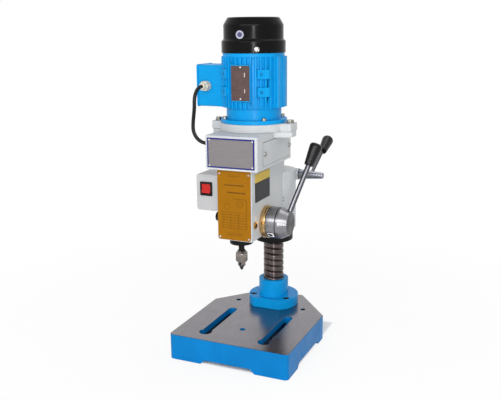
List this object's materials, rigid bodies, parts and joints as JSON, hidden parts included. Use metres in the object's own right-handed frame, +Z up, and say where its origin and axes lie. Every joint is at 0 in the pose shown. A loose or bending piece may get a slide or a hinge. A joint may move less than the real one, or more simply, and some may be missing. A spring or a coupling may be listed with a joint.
{
  "type": "benchtop drill press",
  "caption": "Small benchtop drill press: slotted cast base, screw column with a height nut, swinging head, belt-driven quill spindle with a keyless chuck and an upright motor.",
  "frame": {"origin": "middle of the base's footprint, on the surface that it stands on", "axes": "+X to the operator's right, +Y to the back where the column stands, +Z up"},
  "size_m": [0.2527, 0.3872, 0.6555],
  "materials": {
    "base_paint": "semi-gloss blue enamel with a machined grey top",
    "black_screw": "black oxide",
    "column_steel": "turned and lightly browned",
    "bright_steel": "bright",
    "spindle_steel": "dark ground steel",
    "black_metal": "satin black",
    "head_paint": "pale grey enamel",
    "motor_paint": "semi-gloss blue enamel",
    "stator_iron": "stacked sheet",
    "black_cover": "satin black",
    "badge_sheet": "brushed with a dark blue border",
    "data_sheet": "satin ochre print with dark rules",
    "side_sheet": "dark print under a yellow strip",
    "nameplate_sheet": "dark brown print",
    "brass": "turned",
    "cream_plastic": "cream",
    "cable_rubber": "matte black",
    "belt_rubber": "matte black",
    "switch_plastic": "white",
    "black_plastic": "black",
    "grip_plastic": "black",
    "red_plastic": "translucent red",
    "spring_steel": "blued strip",
    "turned_aluminium": "satin turned",
    "chrome_rod": "bright chrome"
  },
  "bodies": {
    "stand": {"base_plate": "base_paint", "column_flange": "base_paint", "flange_screws": "black_screw", "threaded_column": "column_steel"},
    "lift": {"thrust_washer": "bright_steel"},
    "nut": {"height_nut": "black_metal"},
    "head": {"head_casting": "head_paint", "belt_box": "head_paint", "belt_cover": "head_paint", "belt_cover_screws": "bright_steel", "badge_plate": "badge_sheet", "data_plate": "data_sheet", "plate_rivets": "bright_steel", "side_plate": "side_sheet", "oil_plug": "brass", "motor_plate": "head_paint", "ear_bolts": "bright_steel", "motor_end_bell": "motor_paint", "motor_flange_screws": "bright_steel", "motor_frame": "motor_paint", "stator_core": "stator_iron", "head_bearings": "bright_steel", "fan_cover": "black_cover", "fan_cover_screws": "bright_steel", "motor_nameplate": "nameplate_sheet", "junction_box": "motor_paint", "junction_lid": "motor_paint", "junction_lid_screws": "bright_steel", "cable_gland": "cream_plastic", "motor_lead": "cable_rubber", "lead_grommet": "cable_rubber", "switch_box": "switch_plastic", "switch_bezel": "black_plastic", "mains_inlet": "black_plastic", "spring_cap": "black_plastic", "return_spring": "spring_steel", "feed_bush": "brass", "drive_belt": "belt_rubber"},
    "quill": {"quill": "bright_steel", "quill_nose": "black_metal", "spindle_bearings": "bright_steel"},
    "spindle": {"spindle": "spindle_steel", "chuck_body": "bright_steel"},
    "chuck_sleeve": {"chuck_sleeve": "bright_steel"},
    "jaw_1": {"chuck_jaw_1": "spindle_steel"},
    "jaw_2": {"chuck_jaw_2": "spindle_steel"},
    "jaw_3": {"chuck_jaw_3": "spindle_steel"},
    "pulley": {"spindle_pulley": "turned_aluminium"},
    "rotor": {"rotor": "spindle_steel", "motor_pulley": "turned_aluminium", "motor_fan": "black_plastic"},
    "feed": {"feed_shaft": "bright_steel", "feed_hub": "turned_aluminium", "feed_lever": "chrome_rod", "feed_grip": "grip_plastic"},
    "dial": {"depth_dial": "turned_aluminium"},
    "lock": {"lock_hub": "chrome_rod", "lock_rod": "chrome_rod", "lock_grip": "grip_plastic"},
    "rocker": {"rocker": "red_plastic"}
  },
  "joints": [
    {"name": "lift", "type": "slide", "parent": "stand", "child": "lift", "axis": [0, 0, 1], "range_m": [-0.08, 0.06]},
    {"name": "nut_turn", "type": "hinge", "parent": "lift", "child": "nut", "pos_m": [0, 0.09, 0], "axis": [0, 0, 1], "range_deg": [-1665, 2220]},
    {"name": "head_swing", "type": "hinge", "parent": "lift", "child": "head", "pos_m": [0, 0.09, 0], "axis": [0, 0, 1], "range_deg": [-90, 90]},
    {"name": "feed_turn", "type": "hinge", "parent": "head", "child": "feed", "pos_m": [0, -0.04, 0.27], "axis": [1, 0, 0], "range_deg": [0, 122.7], "stiffness_Nm_per_rad": 0.25, "springref_deg": -171.89},
    {"name": "quill_feed", "type": "slide", "parent": "head", "child": "quill", "axis": [0, 0, -1], "range_m": [0, 0.03]},
    {"name": "dial_turn", "type": "hinge", "parent": "feed", "child": "dial", "pos_m": [0, -0.04, 0.27], "axis": [1, 0, 0], "range_deg": [-170, 170]},
    {"name": "lock_turn", "type": "hinge", "parent": "head", "child": "lock", "pos_m": [0, 0.118, 0.335], "axis": [1, 0, 0], "range_deg": [0, 60]},
    {"name": "rocker_tip", "type": "hinge", "parent": "head", "child": "rocker", "pos_m": [-0.074, -0.0705, 0.33275], "axis": [1, 0, 0], "range_deg": [0, 14]},
    {"name": "motor_spin", "type": "hinge", "parent": "head", "child": "rotor", "pos_m": [0, -0.01, 0], "axis": [0, 0, 1], "continuous": true},
    {"name": "pulley_spin", "type": "hinge", "parent": "head", "child": "pulley", "pos_m": [0, -0.075, 0], "axis": [0, 0, 1], "continuous": true},
    {"name": "spindle_spin", "type": "hinge", "parent": "quill", "child": "spindle", "pos_m": [0, -0.075, 0], "axis": [0, 0, 1], "continuous": true},
    {"name": "chuck_turn", "type": "hinge", "parent": "spindle", "child": "chuck_sleeve", "pos_m": [0, -0.075, 0], "axis": [0, 0, 1], "range_deg": [0, 900]},
    {"name": "jaw_1", "type": "slide", "parent": "spindle", "child": "jaw_1", "axis": [0, 0.2079, 0.9781], "range_m": [0, 0.0095]},
    {"name": "jaw_2", "type": "slide", "parent": "spindle", "child": "jaw_2", "axis": [-0.1801, -0.104, 0.9781], "range_m": [0, 0.0095]},
    {"name": "jaw_3", "type": "slide", "parent": "spindle", "child": "jaw_3", "axis": [0.1801, -0.104, 0.9781], "range_m": [0, 0.0095]}
  ],
  "couplings": [
    {"joint": "nut_turn", "follows": "lift", "rad_per_m": -483.32},
    {"joint": "quill_feed", "follows": "feed_turn", "m_per_rad": 0.014},
    {"joint": "pulley_spin", "follows": "motor_spin", "ratio": 0.77778},
    {"joint": "spindle_spin", "follows": "motor_spin", "ratio": 0.77778},
    {"joint": "jaw_1", "follows": "chuck_turn", "m_per_rad": 0.0006},
    {"joint": "jaw_2", "follows": "chuck_turn", "m_per_rad": 0.0006},
    {"joint": "jaw_3", "follows": "chuck_turn", "m_per_rad": 0.0006}
  ]
}
